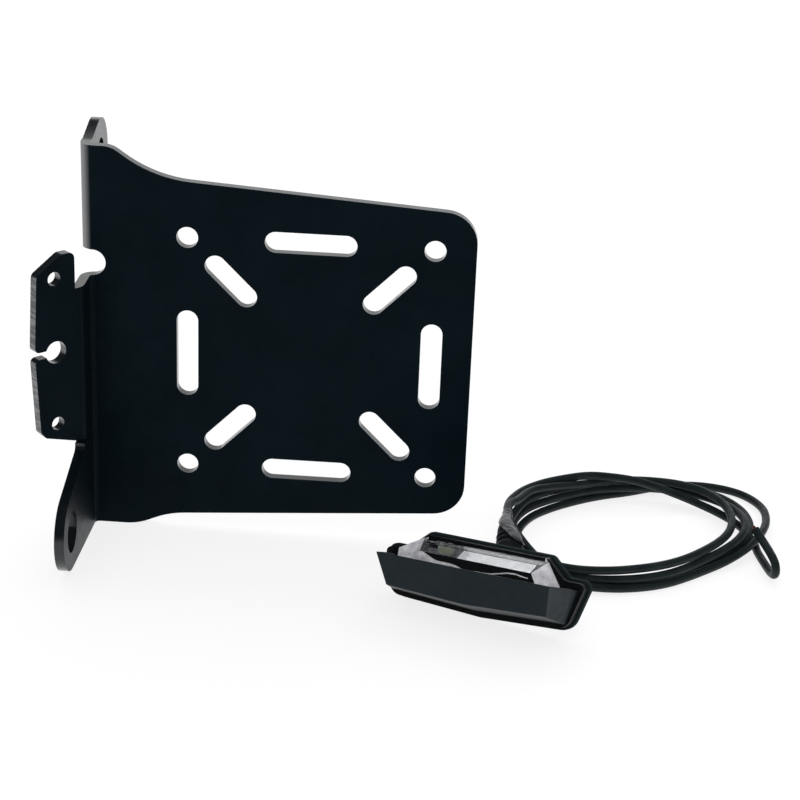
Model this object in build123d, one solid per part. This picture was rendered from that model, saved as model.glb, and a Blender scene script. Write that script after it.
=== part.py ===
from build123d import *
import os
from math import cos, radians, sin, tan

os.makedirs("parts", exist_ok=True)

# Frame: origin at the centre of the number plate's hole square, on the plate's front face.
# +X to the plate's free side, +Y to the motorbike, +Z up. Lengths in mm, angles in degrees.

# Sheet and folds
SHEET = 3.0
BEND_IN = 1.5
FOLD_X = -65.75

# Number plate face
PATTERN = 75.0
PLATE_BOLT = 6.6
SLOT_LENGTH = 28.0
DIAGONAL_SLOT = 20.0
DIAGONAL_REACH = 34.2
PLATE_RIGHT = 50.0
PLATE_HALF = 52.5
PLATE_TAPER = 3.7
PLATE_CORNER = 10.0
HEAD_TOP = 64.6
SHOULDER_X = -60.4
SHOULDER_END_X = -47.9
SHOULDER_ROUND = 8.0
SHOULDER_HOLLOW = 40.0
FOOT = -59.75
TOE_X = -53.5
TOE_END_X = -43.9
TOE_ROUND = 18.0
TOE_HOLLOW = 28.0

# Relief notch that parts the two folds
NOTCH_WIDTH = 8.0
NOTCH_Z = 27.9
NOTCH_DEPTH = 3.25

# Upper leg, folded to the back, with its ear
UPPER_EAR_BACK = 19.7
UPPER_EAR_Z = 56.8
UPPER_EAR_R = 10.7
UPPER_EAR_HOLE = 9.0
UPPER_LEG_FLAT = 7.5

# Lower leg, folded to the front, with its ear
LOWER_EAR_FRONT = 34.5
LOWER_EAR_Z = -46.4
LOWER_EAR_R = 12.0
LOWER_EAR_HOLE = 13.0
LOWER_LEG_STEP = 14.0
LOWER_LEG_STEP_Z = -28.4
STEP_FILLET = 2.0

# Flag that carries the plate light
FLAG_START = 9.0
FLAG_TURN = 45.0
FLAG_MID_Z = 5.0
FLAG_REACH = 15.6
V_ANGLE = 3.0
FLAG_SHOULDER = 25.2
FLAG_TOP_IN = 5.6
FLAG_TOP = 35.5
FLAG_FREE_EDGE = 0.95
FLAG_LOW_OUT = 12.6
FLAG_LOW_OUT_Z = -22.2
FLAG_LOW = -26.4
FLAG_ROUND = 2.0
STUD_SPACING = 46.7
STUD = 4.0
STUD_CLEARANCE = 0.3
HOLE_LINE = 8.2
CABLE_HOLE = 7.0
CABLE_NECK = 2.2
CABLE_MOUTH_ROUND = 1.5

# Plate light, in its own frame: x along it, y from its lower edge, z off its seat
LAMP_FOOT = (58.1, -47.2)
LAMP_TURN = 22.9
LAMP_LEAN = 21.7
LAMP_HEIGHT = 22.3
LAMP_TOP_HALF = 19.6
LAMP_NOTCH_HALF = 25.6
LAMP_LOBE_TOP = 16.9
LAMP_LOBE_HALF = 33.0
LAMP_LOW_HALF = 28.6
LAMP_LOW_ROUND = 5.0
LAMP_ROUND = 2.4
LAMP_HOLE_LINE = 9.0
GASKET = 2.5
GASKET_LIP = 0.8
BASE = 3.5
FIT = 0.1
BOARD = 1.6
BOARD_LENGTH = 36.0
BOARD_WIDTH = 9.0
BOARD_Y = 14.2
BOARD_SINK = 0.8
LED = 5.0
LED_HEIGHT = 1.2
LED_PITCH = 11.0
LED_COUNT = 3
DRIVER = 3.0
DRIVER_HEIGHT = 0.9
BOARD_MARGIN = 0.3
CHIP_GAP = 0.2
POCKET_ROOM = 0.3
GUIDE = 1.2
GUIDE_DEPTH = 0.9
GUIDE_LEFT = 2.5
GUIDE_RIGHT = 2.7
STUD_OUT = 12.0
STUD_SUNK = 2.2
STUD_COLLAR = 6.0

# Visor and lens, as slopes of their flat walls
VISOR_WALL = 1.8
VISOR_LOW_Y = 2.2
VISOR_LOW_SLOPE = 12.8
VISOR_FRONT_Z = 16.1
VISOR_FRONT_SLOPE = 26.6
VISOR_RIDGE = 1.5
VISOR_END_HALF = 26.85
VISOR_END_FLARE = 12.9
VISOR_END_DRAFT = 12.2
VISOR_RIM_Y = 14.2
VISOR_RIM_SLOPE = 4.9
LENS_GAP = 0.3
LENS_BACK_Y = 20.6
LENS_BACK_SLOPE = 22.4
LENS_BROW_Y = 17.3
LENS_BROW_Z = 14.0
LENS_FRONT_DRAFT = 8.0
LENS_END_HALF = 19.7
LENS_END_TURN = 55.5
LENS_END_SLOPE = 24.0

# Lead and its sleeve
LEAD = 2.65
SLEEVE_NECK = 6.6
SLEEVE_BELLY = 9.4
SLEEVE_TIP = 3.1
SLEEVE_SWELL = 0.2
SLEEVE_TAPER = 0.5
CORE = 1.3
CORE_BARE = 1.2

# Wound coil: outer and inner radius every 30 degrees from the right, going round by the back
COIL_CENTRE = (105.0, 11.0)
COIL_OUTER = (41.0, 51.8, 48.7, 38.0, 33.0, 35.5, 40.5, 46.5, 44.5, 36.8, 32.6, 33.2)
COIL_INNER = (28.8, 31.2, 27.0, 23.6, 25.8, 28.6, 34.6, 40.6, 38.6, 31.2, 26.8, 26.0)
COIL_HEIGHT = 9.8
COIL_RISE = 2.5
COIL_FAN_START = 27.0
COIL_FAN_BEARING = 20.0
COIL_FAN_FALL = 18.5

# Routes of the lead outside its coil, heights above the foot
SLEEVE_ROUTE = [
    (61.4, -37.6, 7.2),
    (63.8, -30.5, 8.9),
    (65.1, -22.5, 11.6),
    (64.7, -12.5, 12.8),
    (64.2, -1.0, 12.5),
]
LEAD_IN_ROUTE = [
    (64.2, -1.0, 12.5),
    (64.1, 2.8, 12.4),
    (65.0, 6.9, 12.2),
    (67.5, 11.4, 11.8),
    (70.4, 15.4, 11.45),
]
TAIL_ROUTE = [
    (145.8, 1.2, 1.4),
    (147.7, -6.5, 1.4),
    (149.0, -14.6, 1.4),
    (149.0, -14.6, 8.2),
    (147.2, -6.9, 8.5),
    (144.7, -0.6, 9.0),
    (142.2, 5.2, 9.4),
]

flange_in = FOLD_X - BEND_IN
flange_out = flange_in - SHEET
leg_top = NOTCH_Z - NOTCH_WIDTH / 2
head_low = NOTCH_Z + NOTCH_WIDTH / 2
stud_hole = STUD + STUD_CLEARANCE
half_pattern = PATTERN / 2
deck = GASKET + BASE
driver_x = BOARD_MARGIN + DRIVER / 2 - BOARD_LENGTH / 2
first_led_x = driver_x + DRIVER / 2 + CHIP_GAP + LED / 2
led_xs = [first_led_x + count * LED_PITCH for count in range(LED_COUNT)]
board_top = deck - BOARD_SINK + BOARD
led_top = board_top + LED_HEIGHT


def rounded(*corners):
    """Face with each corner given as (x, y, radius)."""
    points = [(x, y) for x, y, radius in corners]
    radii = [radius for x, y, radius in corners]
    return make_face(FilletPolyline(*points, radius=radii, close=True))


def plate_edge(x):
    """Half height of the tapered number plate face at x."""
    return PLATE_HALF - x * tan(radians(PLATE_TAPER))


def fold(centre, start, turn, low, high):
    """Fold of the sheet about an upright axis: a ring sector between two flat legs."""
    outer = CenterArc(centre, BEND_IN + SHEET, start, turn)
    inner = CenterArc(centre, BEND_IN, start, turn)
    sector = make_face([outer, inner, Line(outer @ 0, inner @ 0), Line(outer @ 1, inner @ 1)])
    return extrude(Pos(0, 0, low) * sector, high - low)


def ear(centre, radius, *corners):
    """Rounded ear joined to its leg by tangent lines from the given corners."""
    rim = Pos(*centre) * Circle(radius)
    return make_hull(rim.edges() + Polyline(*corners).edges())


def number_plate_face():
    outline = rounded(
        (PLATE_RIGHT, plate_edge(PLATE_RIGHT), PLATE_CORNER),
        (SHOULDER_END_X, plate_edge(SHOULDER_END_X), SHOULDER_HOLLOW),
        (SHOULDER_X, HEAD_TOP, SHOULDER_ROUND),
        (FOLD_X, HEAD_TOP, 0),
        (FOLD_X, FOOT, 0),
        (TOE_X, FOOT, TOE_ROUND),
        (TOE_END_X, -plate_edge(TOE_END_X), TOE_HOLLOW),
        (PLATE_RIGHT, -plate_edge(PLATE_RIGHT), PLATE_CORNER),
    )
    outline -= Pos(FOLD_X + NOTCH_DEPTH - NOTCH_WIDTH / 2, NOTCH_Z) * Circle(NOTCH_WIDTH / 2)
    for side in (-1, 1):
        for level in (-1, 1):
            outline -= Pos(side * half_pattern, level * half_pattern) * Circle(PLATE_BOLT / 2)
    for quarter in range(4):
        straight = Pos(0, half_pattern) * SlotOverall(SLOT_LENGTH, PLATE_BOLT)
        diagonal = Rot(Z=45) * Pos(DIAGONAL_REACH, 0) * SlotOverall(DIAGONAL_SLOT, PLATE_BOLT)
        outline -= Rot(Z=90 * quarter) * straight
        outline -= Rot(Z=90 * quarter) * diagonal
    return extrude(Plane.XZ * outline, -SHEET)


def upper_leg():
    start = -(SHEET + BEND_IN)
    head = rounded(
        (start, head_low, 0),
        (start, HEAD_TOP, 0),
        (-UPPER_LEG_FLAT, HEAD_TOP, 0),
        (-UPPER_LEG_FLAT, head_low, 0),
    )
    centre = (-UPPER_EAR_BACK, UPPER_EAR_Z)
    head += ear(centre, UPPER_EAR_R, (start, head_low), (-UPPER_LEG_FLAT, HEAD_TOP))
    return head - Pos(*centre) * Circle(UPPER_EAR_HOLE / 2)


def lower_leg():
    leg = rounded(
        (BEND_IN, LOWER_LEG_STEP_Z, 0),
        (LOWER_LEG_STEP, LOWER_LEG_STEP_Z, 0),
        (LOWER_LEG_STEP, FLAG_LOW, 0),
        (FLAG_START, FLAG_LOW, 0),
        (FLAG_START, leg_top, 0),
        (BEND_IN, leg_top, 0),
    )
    step = (LOWER_LEG_STEP, LOWER_LEG_STEP_Z)
    centre = (LOWER_EAR_FRONT, LOWER_EAR_Z)
    leg += ear(centre, LOWER_EAR_R, (BEND_IN, FOOT), (BEND_IN, LOWER_LEG_STEP_Z), step)
    leg = fillet(leg.vertices().sort_by_distance((*step, 0))[0], STEP_FILLET)
    return leg - Pos(*centre) * Circle(LOWER_EAR_HOLE / 2)


def flag():
    """Flag outline: its outer edge is a shallow V, open to a keyhole for the lead."""
    shoulder = FLAG_REACH - FLAG_SHOULDER * tan(radians(V_ANGLE))
    outline = rounded(
        (0, FLAG_LOW, 0),
        (FLAG_LOW_OUT, FLAG_LOW_OUT_Z, FLAG_ROUND),
        (shoulder, FLAG_MID_Z - FLAG_SHOULDER, FLAG_ROUND),
        (FLAG_REACH, FLAG_MID_Z, 0),
        (shoulder, FLAG_MID_Z + FLAG_SHOULDER, FLAG_ROUND),
        (FLAG_TOP_IN, FLAG_TOP, FLAG_ROUND),
        (FLAG_FREE_EDGE, FLAG_TOP, FLAG_ROUND),
        (FLAG_FREE_EDGE, leg_top, 0),
        (0, leg_top, 0),
    )
    neck_length = FLAG_REACH - HOLE_LINE
    outline -= Pos(HOLE_LINE + neck_length / 2, FLAG_MID_Z) * Rectangle(neck_length, CABLE_NECK)
    for side in (-1, 1):
        mouth = (FLAG_REACH, FLAG_MID_Z + side * CABLE_NECK / 2, 0)
        outline = fillet(outline.vertices().sort_by_distance(mouth)[0], CABLE_MOUTH_ROUND)
        outline -= Pos(HOLE_LINE, FLAG_MID_Z + side * STUD_SPACING / 2) * Circle(stud_hole / 2)
    return outline - Pos(HOLE_LINE, FLAG_MID_Z) * Circle(CABLE_HOLE / 2)


def bracket():
    """One folded sheet: number plate face, upper leg to the back, lower leg to the front, flag."""
    legs = Plane(origin=(flange_in, 0, 0), x_dir=(0, -1, 0), z_dir=(-1, 0, 0))
    turn = radians(FLAG_TURN)
    flag_pivot = Vector(flange_out - BEND_IN, -FLAG_START)
    flag_face = Vector(cos(turn), -sin(turn))
    flag_run = Vector(-sin(turn), -cos(turn))
    flag_plane = Plane(
        origin=flag_pivot + flag_face * (BEND_IN + SHEET), x_dir=flag_run, z_dir=flag_face * -1
    )
    sheet = number_plate_face()
    sheet += fold((FOLD_X, SHEET + BEND_IN), 180, 90, head_low, HEAD_TOP)
    sheet += extrude(legs * upper_leg(), SHEET)
    sheet += fold((FOLD_X, -BEND_IN), 90, 90, FOOT, leg_top)
    sheet += extrude(legs * lower_leg(), SHEET)
    sheet += fold((flag_pivot.X, flag_pivot.Y), -FLAG_TURN, FLAG_TURN, FLAG_LOW, leg_top)
    sheet += extrude(flag_plane * flag(), SHEET)
    return sheet


def lamp_outline(inset):
    """Outline of the light's foot: two stud lobes, a narrower top and a shallow V below."""
    low = LAMP_LOW_HALF * tan(radians(V_ANGLE))
    right = [
        (LAMP_LOW_HALF, low, LAMP_LOW_ROUND),
        (LAMP_LOBE_HALF, LAMP_LOBE_TOP, LAMP_ROUND),
        (LAMP_NOTCH_HALF, LAMP_LOBE_TOP, LAMP_ROUND),
        (LAMP_TOP_HALF, LAMP_HEIGHT, LAMP_ROUND),
    ]
    left = [(-x, y, radius) for x, y, radius in reversed(right)]
    face = rounded((0, 0, 0), *right, *left)
    return offset(face, -inset) if inset else face


def stud_places():
    return [Pos(side * STUD_SPACING / 2, LAMP_HOLE_LINE) for side in (-1, 1)]


def standing(radius, height):
    """Cylinder that stands on its origin."""
    return Cylinder(radius, height, align=(Align.CENTER, Align.CENTER, Align.MIN))


def lamp_gasket():
    pad = extrude(lamp_outline(0), GASKET)
    pad = fillet(pad.edges().group_by(Axis.Z)[-1], GASKET_LIP)
    for place in stud_places():
        pad -= place * Cylinder(STUD_COLLAR / 2 + FIT, 3 * GASKET)
    return pad - Pos(0, LAMP_HOLE_LINE) * Cylinder(SLEEVE_NECK / 2 + FIT, 3 * GASKET)


def board_place(height):
    return Pos(0, BOARD_Y, height)


def lamp_base():
    foot = extrude(Pos(0, 0, GASKET) * lamp_outline(GASKET_LIP), BASE)
    for place in stud_places():
        foot -= place * Pos(0, 0, GASKET) * standing(STUD_COLLAR / 2 + FIT / 2, STUD_SUNK)
    recess = Box(BOARD_LENGTH + 2 * FIT, BOARD_WIDTH + 2 * FIT, 2 * BOARD_SINK)
    foot -= board_place(deck) * recess
    return foot - Pos(0, LAMP_HOLE_LINE) * Cylinder(LEAD / 2 + FIT, 3 * deck)


def led_board():
    board = Box(BOARD_LENGTH, BOARD_WIDTH, BOARD, align=(Align.CENTER, Align.CENTER, Align.MIN))
    return board_place(board_top - BOARD) * board


def chip(width, height, x):
    """Square chip at the upper edge of the board, its face's edges rounded."""
    block = Box(width, width, height, align=(Align.CENTER, Align.MAX, Align.MIN))
    block = fillet(block.edges().group_by(Axis.Z)[-1], height / 4)
    return board_place(board_top) * Pos(x, BOARD_WIDTH / 2 - BOARD_MARGIN) * block


def leds():
    return [chip(LED, LED_HEIGHT, x) for x in led_xs]


def driver_chip():
    """Chip that feeds the LEDs, beside the first of them."""
    return chip(DRIVER, DRIVER_HEIGHT, driver_x)


def studs():
    """Studs with a collar that ends flush with the gasket's back."""
    rod = standing(STUD / 2, STUD_OUT)
    rod = chamfer(rod.edges().group_by(Axis.Z)[0], STUD / 8)
    stud = Pos(0, 0, -STUD_OUT) * rod + standing(STUD_COLLAR / 2, GASKET + STUD_SUNK)
    return [place * stud for place in stud_places()]


def trimmed(walls, inset):
    """Block cut by flat walls, each given as (point, outward normal), moved in by inset."""
    block = Pos(0, LAMP_HEIGHT / 2, deck) * Box(4 * LAMP_HEIGHT, 2 * LAMP_HEIGHT, 3 * LAMP_HEIGHT)
    for point, normal in walls:
        wall = Plane(origin=point, z_dir=normal)
        block = split(block, bisect_by=wall.offset(-inset), keep=Keep.BOTTOM)
    return block


def visor_walls():
    """Lower, front and end walls of the visor, in mirrored pairs."""
    low = tan(radians(VISOR_LOW_SLOPE))
    front = tan(radians(VISOR_FRONT_SLOPE))
    flare = tan(radians(VISOR_END_FLARE))
    draft = tan(radians(VISOR_END_DRAFT))
    walls = []
    for side in (-1, 1):
        walls.append(((0, VISOR_LOW_Y, deck), (side * tan(radians(V_ANGLE)), -1, low)))
        walls.append(((0, 0, VISOR_FRONT_Z), (side * tan(radians(VISOR_RIDGE)), -front, 1)))
        walls.append(((side * VISOR_END_HALF, 0, deck), (side, -flare, draft)))
    return walls


def above(solid, height):
    """Part of a solid that stands above a height."""
    return split(solid, bisect_by=Plane.XY.offset(height), keep=Keep.TOP)


def lamp_visor():
    rim = ((0, VISOR_RIM_Y, deck), (0, 1, -tan(radians(VISOR_RIM_SLOPE))))
    shell = trimmed(visor_walls() + [rim], 0) - trimmed(visor_walls(), VISOR_WALL)
    return above(shell, deck)


def lens_back():
    """Slanted wall of the lens that the light leaves by."""
    return ((0, LENS_BACK_Y, deck), (0, 1, tan(radians(LENS_BACK_SLOPE))))


def guide_plate(grown):
    """Plate behind the lens's slanted wall, from the LEDs to the brow, grown on every side."""
    outer = trimmed([lens_back()], GUIDE_DEPTH - grown)
    plate = outer - trimmed([lens_back()], GUIDE_DEPTH + GUIDE + grown)
    left = led_xs[1] - LED / 2 - GUIDE_LEFT - grown
    right = LENS_END_HALF - GUIDE_RIGHT + grown
    low = led_top + FIT - grown
    high = LENS_BROW_Z - GUIDE_DEPTH + grown
    span = Box(right - left, 2 * LAMP_HEIGHT, high - low)
    return plate & Pos((left + right) / 2, LAMP_HEIGHT, (low + high) / 2) * span


def lamp_lens():
    """Clear solid lens: it fills the foot of the visor, covers the board and is slotted for the guide."""
    upper = [lens_back()]
    upper.append(((0, LENS_BROW_Y, LENS_BROW_Z), (0, tan(radians(LENS_FRONT_DRAFT)), 1)))
    turn = radians(LENS_END_TURN)
    for side in (-1, 1):
        normal = (side * sin(turn), cos(turn), tan(radians(LENS_END_SLOPE)))
        upper.append(((side * LENS_END_HALF, LENS_BACK_Y, deck), normal))
    block = trimmed(visor_walls(), VISOR_WALL + LENS_GAP) & trimmed(upper, 0)
    depth = led_top + POCKET_ROOM - deck
    pocket = board_place(deck) * Box(BOARD_LENGTH + 4 * FIT, BOARD_WIDTH + 4 * FIT, 2 * depth)
    return above(block, deck) - pocket - guide_plate(FIT)


lamp_place = (
    Pos(LAMP_FOOT[0], LAMP_FOOT[1], FOOT)
    * Rot(Z=-LAMP_TURN)
    * Rot(X=90 - LAMP_LEAN)
    * Rot(Z=V_ANGLE)
)


def raised(route):
    """Route points with their heights counted from the foot."""
    return [Vector(x, y, z + FOOT) for x, y, z in route]


def tube(name, route):
    """Lead along straight runs and arcs, each arc as large as its two runs allow."""
    points = raised(route)
    radii = []
    for before, here, after in zip(points, points[1:], points[2:]):
        run = min((here - before).length, (after - here).length)
        turn = (here - before).get_angle(after - here)
        radii.append(0.45 * run / tan(radians(turn / 2)))
    path = FilletPolyline(*points, radius=radii)
    section = Plane(origin=path @ 0, z_dir=path % 0) * Circle(LEAD / 2)
    solid = sweep(section, path)
    print(name, "radii", [round(radius, 1) for radius in radii], "length", round(path.length, 1))
    print(name, "volume over section times length", solid.volume / (section.area * path.length))
    return solid


def lead_sleeve():
    """Shrink sleeve from the light's back to the free lead, widest just behind the gasket."""
    back = (lamp_place * Pos(0, LAMP_HOLE_LINE, GASKET)).position
    outlet = (lamp_place * Pos(0, LAMP_HOLE_LINE, 0)).position
    lead_in = raised(LEAD_IN_ROUTE)
    path = Spline(outlet, *raised(SLEEVE_ROUTE), tangents=[outlet - back, lead_in[1] - lead_in[0]])
    sections = [Plane(origin=back, z_dir=outlet - back) * Circle(SLEEVE_NECK / 2)]
    stations = 8
    for station in range(stations):
        share = station / (stations - 1)
        swell = min(1, share / SLEEVE_SWELL)
        taper = max(0, share - SLEEVE_TAPER) / (1 - SLEEVE_TAPER)
        width = SLEEVE_NECK + (SLEEVE_BELLY - SLEEVE_NECK) * swell
        width += (SLEEVE_TIP - SLEEVE_BELLY) * taper
        plane = Plane(origin=path @ share, z_dir=path % share)
        sections.append(plane * Circle(width / 2))
    return loft(sections)


def ring_line(radii):
    """Closed smooth line round the coil, one radius for each equal step of bearing."""
    step = 360 / len(radii)
    points = []
    for count, radius in enumerate(radii):
        bearing = radians(step * count)
        points.append((radius * cos(bearing), radius * sin(bearing)))
    return make_face(Spline(*points, periodic=True))


def lead_coil():
    """Outer form of the wound coil: highest at its back, lower where its turns fan out."""
    ring = ring_line(COIL_OUTER) - ring_line(COIL_INNER)
    solid = extrude(ring, 2 * COIL_HEIGHT)
    top = Plane(origin=(0, 0, COIL_HEIGHT), z_dir=(0, -tan(radians(COIL_RISE)), 1))
    out = Vector(cos(radians(COIL_FAN_BEARING)), sin(radians(COIL_FAN_BEARING)))
    fall = Vector(0, 0, 1) + out * tan(radians(COIL_FAN_FALL))
    fan = Plane(origin=out * COIL_FAN_START + Vector(0, 0, COIL_HEIGHT), z_dir=fall)
    solid = split(solid, bisect_by=top, keep=Keep.BOTTOM)
    solid = split(solid, bisect_by=fan, keep=Keep.BOTTOM)
    return Pos(*COIL_CENTRE, FOOT) * solid


def lead_core():
    tip = raised(TAIL_ROUTE)[-1]
    along = tip - raised(TAIL_ROUTE)[-2]
    return Plane(origin=tip, z_dir=along).location * standing(CORE / 2, CORE_BARE)


def save(name, shape):
    solids = shape if isinstance(shape, list) else [shape]
    export_step(Compound(children=list(solids)) if len(solids) > 1 else solids[0], f"parts/{name}.step")


save("bracket", bracket())
save("lamp_gasket", lamp_place * lamp_gasket())
save("lamp_base", lamp_place * lamp_base())
save("lamp_visor", lamp_place * lamp_visor())
save("lamp_lens", lamp_place * lamp_lens())
save("lamp_diffuser", lamp_place * guide_plate(0))
save("led_board", lamp_place * led_board())
save("leds", [lamp_place * led for led in leds()])
save("driver_chip", lamp_place * driver_chip())
save("lamp_studs", [lamp_place * rod for rod in studs()])
save("lead_sleeve", lead_sleeve())
save("lead_in", tube("lead_in", LEAD_IN_ROUTE))
save("lead_coil", lead_coil())
save("lead_tail", tube("lead_tail", TAIL_ROUTE))
save("lead_core", lead_core())
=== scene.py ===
import bpy
from math import cos, pi, radians, sin
from mathutils import Euler, Matrix, Vector
from mathutils.kdtree import KDTree


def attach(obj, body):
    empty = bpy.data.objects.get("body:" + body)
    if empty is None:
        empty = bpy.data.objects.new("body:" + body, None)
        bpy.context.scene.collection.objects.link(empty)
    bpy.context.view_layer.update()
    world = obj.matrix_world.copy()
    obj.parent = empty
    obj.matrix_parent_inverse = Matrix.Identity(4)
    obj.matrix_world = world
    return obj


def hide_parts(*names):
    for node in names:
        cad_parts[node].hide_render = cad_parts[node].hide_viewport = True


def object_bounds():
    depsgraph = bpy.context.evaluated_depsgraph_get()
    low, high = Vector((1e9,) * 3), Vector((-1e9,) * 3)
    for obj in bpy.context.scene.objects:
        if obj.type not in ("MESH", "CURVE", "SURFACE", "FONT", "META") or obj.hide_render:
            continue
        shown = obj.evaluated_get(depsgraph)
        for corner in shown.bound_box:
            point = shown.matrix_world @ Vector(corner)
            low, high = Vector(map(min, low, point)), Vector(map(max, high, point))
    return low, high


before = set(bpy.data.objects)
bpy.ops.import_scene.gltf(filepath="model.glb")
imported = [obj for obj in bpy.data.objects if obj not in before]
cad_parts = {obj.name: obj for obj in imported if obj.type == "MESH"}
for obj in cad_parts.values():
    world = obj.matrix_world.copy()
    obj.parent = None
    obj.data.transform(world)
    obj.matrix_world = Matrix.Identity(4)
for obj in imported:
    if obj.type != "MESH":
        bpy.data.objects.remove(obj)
cad_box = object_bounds()

# Bracket: one 3 mm steel sheet, cut, folded three times and coated with black satin powder, which baked to a
# fine orange peel. Its edges are broken before coating, so they catch the light, and on the edges that face
# left light streaks are painted into the colour as a painted highlight.
SAME_POINT = 1e-6
SAME_FACE = 0.5
EDGE_BREAK = 0.0003
EDGE_STEPS = 2
SHARP_FROM = 25
SMOOTH_TO = 40
PLATE_LEFT = -0.055
LEG_RIGHT = -0.0669
FLAG_RIGHT = -0.0715
FLAG_NORMAL = Vector((1, -1, 0)).normalized()
SHEET_UPRIGHT = 0.08
FOLD_BACK = 0.0045
FOLD_EDGE = 0.001
COAT = ((0.001, 0.0062, 0.0105), (0.0024, 0.0098, 0.0152))
EDGE_COAT = ((0.001, 0.004, 0.006), (0.003, 0.007, 0.01))
PAINTED_STREAK_LIGHT = (0.2, 0.2, 0.21, 1.0)
STREAK_STRETCH = (0.12, 0.12, 1.0)


def fill(tree, node, **inputs):
    """Inputs of a shader node set to values or linked to sockets, by name or, as in _2, by number."""
    for key, value in inputs.items():
        socket = node.inputs[int(key[1:]) if key[0] == "_" else key.replace("_", " ")]
        if isinstance(value, bpy.types.NodeSocket):
            tree.links.new(value, socket)
        else:
            socket.default_value = value


def add(tree, kind, settings=(), **inputs):
    """New shader node with its settings and its inputs."""
    node = tree.nodes.new("ShaderNode" + kind)
    for key, value in dict(settings).items():
        setattr(node, key, value)
    fill(tree, node, **inputs)
    return node


def new_material(name, piece):
    """Material added to a piece, with its node tree, shader and object coordinates."""
    material = bpy.data.materials.new(name)
    material.use_nodes = True
    tree = material.node_tree
    shader = tree.nodes["Principled BSDF"]
    place = add(tree, "TexCoord").outputs["Object"]
    piece.data.materials.append(material)
    return tree, shader, place


def noise(tree, place, size, detail=2.0):
    """Noise with features of a size in metres."""
    return add(tree, "TexNoise", Vector=place, Scale=1 / size, Detail=detail).outputs["Fac"]


def blend(tree, share, low, high):
    """Mix of two colours, each a value or a link."""
    return add(tree, "Mix", {"data_type": "RGBA"}, _0=share, _6=low, _7=high).outputs[2]


def ramp(tree, factor, low, high, start=0.3, end=0.7):
    """Colour or value that runs from low to high over a span of the factor."""
    if isinstance(low, tuple):
        share = add(tree, "MapRange", Value=factor, From_Min=start, From_Max=end).outputs["Result"]
        return blend(tree, share, (*low, 1), (*high, 1))
    spread = add(tree, "MapRange", Value=factor, From_Min=start, From_Max=end, To_Min=low, To_Max=high)
    return spread.outputs["Result"]


def calc(tree, operation, first, second):
    """Sum, product or other result of two values."""
    return add(tree, "Math", {"operation": operation}, _0=first, _1=second).outputs[0]


def axis_value(tree, vector, axis):
    """One of the three values of a vector."""
    return add(tree, "SeparateXYZ", Vector=vector).outputs[axis]


def bump(tree, height, depth, under=None):
    """Bump of a depth in metres, on top of another one."""
    node = add(tree, "Bump", Height=height, Distance=depth, Strength=1.0)
    if under:
        fill(tree, node, Normal=under)
    return node.outputs["Normal"]


def worked(piece, kind, **settings):
    """Modifier put on a piece and applied."""
    modifier = piece.modifiers.new(kind.lower(), kind)
    for key, value in settings.items():
        setattr(modifier, key, value)
    bpy.context.view_layer.objects.active = piece
    bpy.ops.object.modifier_apply(modifier=modifier.name)


def merged_copy(node, name):
    """Copy of a CAD node with its faces joined, open in edit mode to be worked on."""
    bpy.ops.object.select_all(action="DESELECT")
    piece = bpy.data.objects.new(name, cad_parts[node].data.copy())
    piece.data.materials.clear()
    bpy.context.scene.collection.objects.link(piece)
    piece.select_set(True)
    bpy.context.view_layer.objects.active = piece
    bpy.ops.object.mode_set(mode="EDIT")
    bpy.ops.mesh.select_all(action="SELECT")
    bpy.ops.mesh.remove_doubles(threshold=SAME_POINT)
    bpy.ops.mesh.dissolve_limited(angle_limit=radians(SAME_FACE))
    return piece


def break_edges(piece, width):
    """Rounds the sharp edges of the open piece, closes it and keeps its flat faces flat in the light."""
    bpy.ops.mesh.select_mode(type="EDGE")
    bpy.ops.mesh.select_all(action="DESELECT")
    bpy.ops.mesh.edges_select_sharp(sharpness=radians(SHARP_FROM))
    bpy.ops.mesh.bevel(offset=width, segments=EDGE_STEPS, affect="EDGES", clamp_overlap=True)
    bpy.ops.object.mode_set(mode="OBJECT")
    bpy.ops.object.shade_smooth_by_angle(angle=radians(SMOOTH_TO))
    worked(piece, "WEIGHTED_NORMAL", mode="FACE_AREA", weight=100, keep_sharp=True)


bracket = merged_copy("bracket", "folded_bracket")
break_edges(bracket, EDGE_BREAK)
tree, shader, place = new_material("satin_powder_coat", bracket)
peel = bump(tree, noise(tree, place, size=0.0011, detail=3.0), depth=0.00006)
peel = bump(tree, noise(tree, place, size=0.00045), depth=0.00009, under=peel)
sideways = axis_value(tree, add(tree, "NewGeometry").outputs["Normal"], "X")
depth = axis_value(tree, place, "Y")
before_fold = ramp(tree, depth, 0.0, 1.0, start=-FOLD_EDGE, end=0.0)
past_fold = ramp(tree, depth, 1.0, 0.1, start=FOLD_BACK, end=2 * FOLD_BACK)
round_fold = ramp(tree, sideways, 1.0, 0.0, start=-0.65, end=-0.25)
round_fold = calc(tree, "MULTIPLY", round_fold, calc(tree, "MULTIPLY", before_fold, past_fold))
in_fold = ramp(tree, sideways, 0.0, 1.0, start=0.8, end=0.95)
in_fold = calc(tree, "MULTIPLY", in_fold, ramp(tree, depth, 0.2, 0.8, start=-FOLD_BACK, end=FOLD_BACK))
fill(
    tree,
    shader,
    Base_Color=ramp(tree, noise(tree, place, size=0.02, detail=4.0), *COAT),
    Roughness=ramp(tree, noise(tree, place, size=0.006, detail=4.0), low=0.4, high=0.52),
    Specular_IOR_Level=0.06,
    Coat_Weight=calc(tree, "MAXIMUM", round_fold, in_fold),
    Coat_Roughness=0.36,
    Coat_IOR=2.5,
    Normal=peel,
    Coat_Normal=peel,
)
tree, shader, place = new_material("coated_cut_edge", bracket)
streaks = add(tree, "Mapping", Vector=place, Scale=STREAK_STRETCH).outputs["Vector"]
streaks = noise(tree, streaks, size=0.0007, detail=3.0)
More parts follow.
